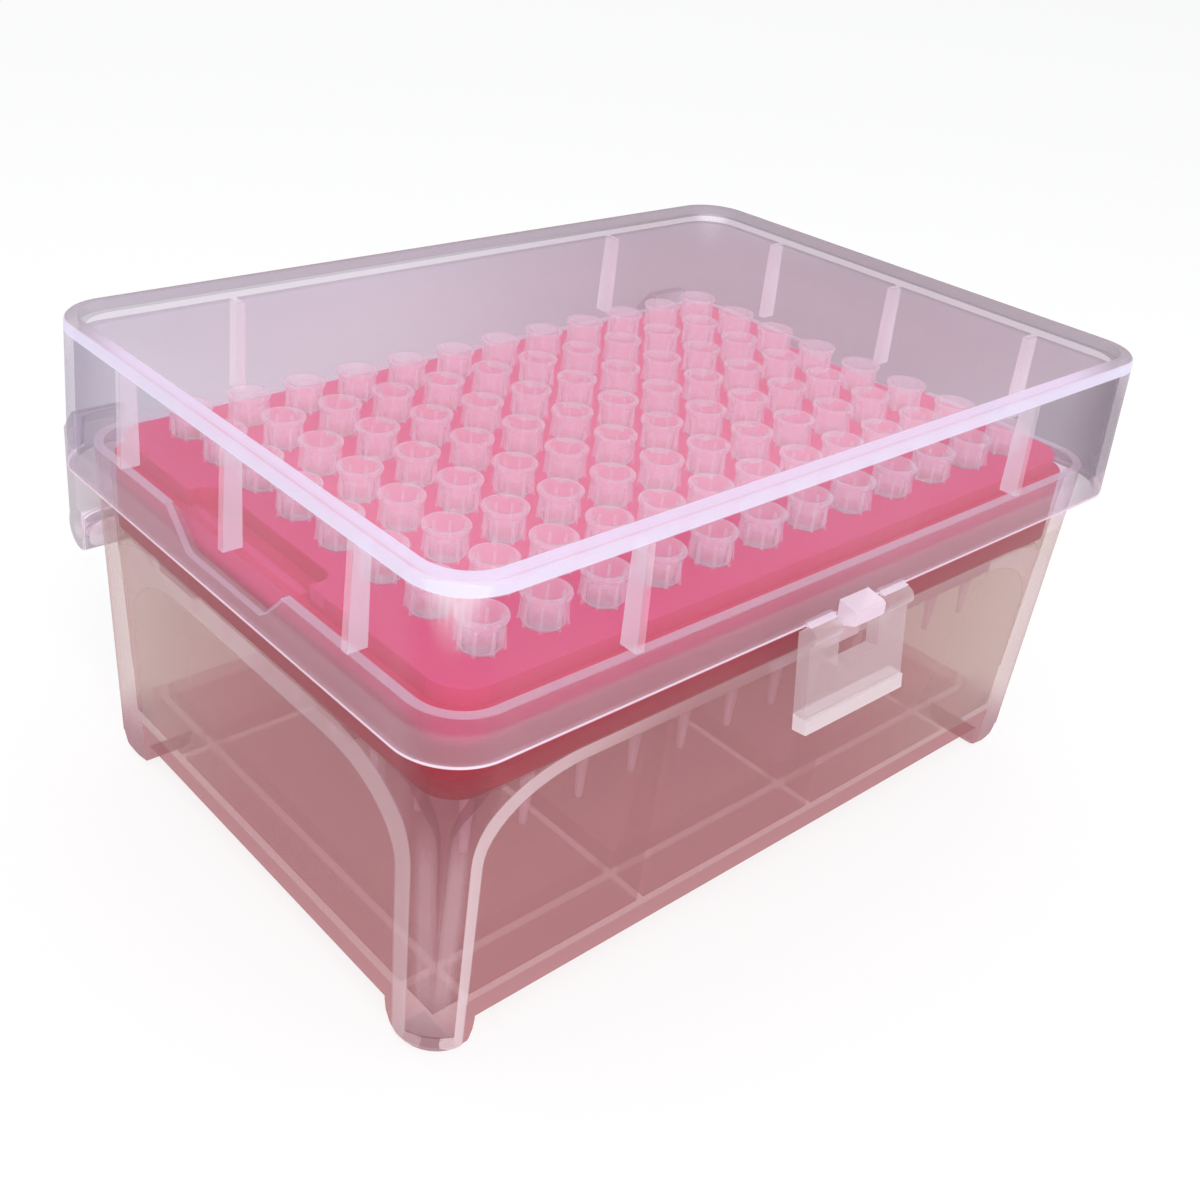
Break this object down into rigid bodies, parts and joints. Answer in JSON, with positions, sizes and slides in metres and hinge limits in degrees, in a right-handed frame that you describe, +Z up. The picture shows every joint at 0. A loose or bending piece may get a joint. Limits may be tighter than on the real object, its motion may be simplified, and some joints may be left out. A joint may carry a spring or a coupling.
{
  "type": "box of pipette tips",
  "caption": "Hinged translucent box of pipette tips: footed base, pink rack plate, columns of tips, clear lid on pins and a front snap flap.",
  "frame": {"origin": "middle of the box's bounding box in plan, on the table under the feet", "axes": "+X along the box's long side, +Y from the snap flap to the hinge, +Z up"},
  "size_m": [0.1286, 0.0966, 0.0685],
  "materials": {
    "base_plastic": "translucent natural polypropylene, satin",
    "lid_plastic": "clear polypropylene, glossy with a slight haze",
    "rack_plastic": "pink polypropylene, satin",
    "tip_plastic": "clear polypropylene, glossy"
  },
  "bodies": {
    "base": {"base_box": "base_plastic", "rack_plate": "rack_plastic", "tips_column_01": "tip_plastic", "tips_column_02": "tip_plastic", "tips_column_03": "tip_plastic", "tips_column_04": "tip_plastic", "tips_column_05": "tip_plastic", "tips_column_06": "tip_plastic", "tips_column_07": "tip_plastic", "tips_column_08": "tip_plastic", "tips_column_09": "tip_plastic", "tips_column_10": "tip_plastic", "tips_column_11": "tip_plastic", "tips_column_12": "tip_plastic"},
    "lid": {"lid": "lid_plastic"},
    "flap": {"latch_flap": "lid_plastic"}
  },
  "joints": [
    {"name": "lid_hinge", "type": "hinge", "parent": "base", "child": "lid", "pos_m": [0, 0.04505, 0.0334], "axis": [-1, 0, 0], "range_deg": [0, 110]},
    {"name": "flap_hinge", "type": "hinge", "parent": "lid", "child": "flap", "pos_m": [0, -0.04606, 0.0463], "axis": [-1, 0, 0], "range_deg": [-10.4, 100]}
  ]
}
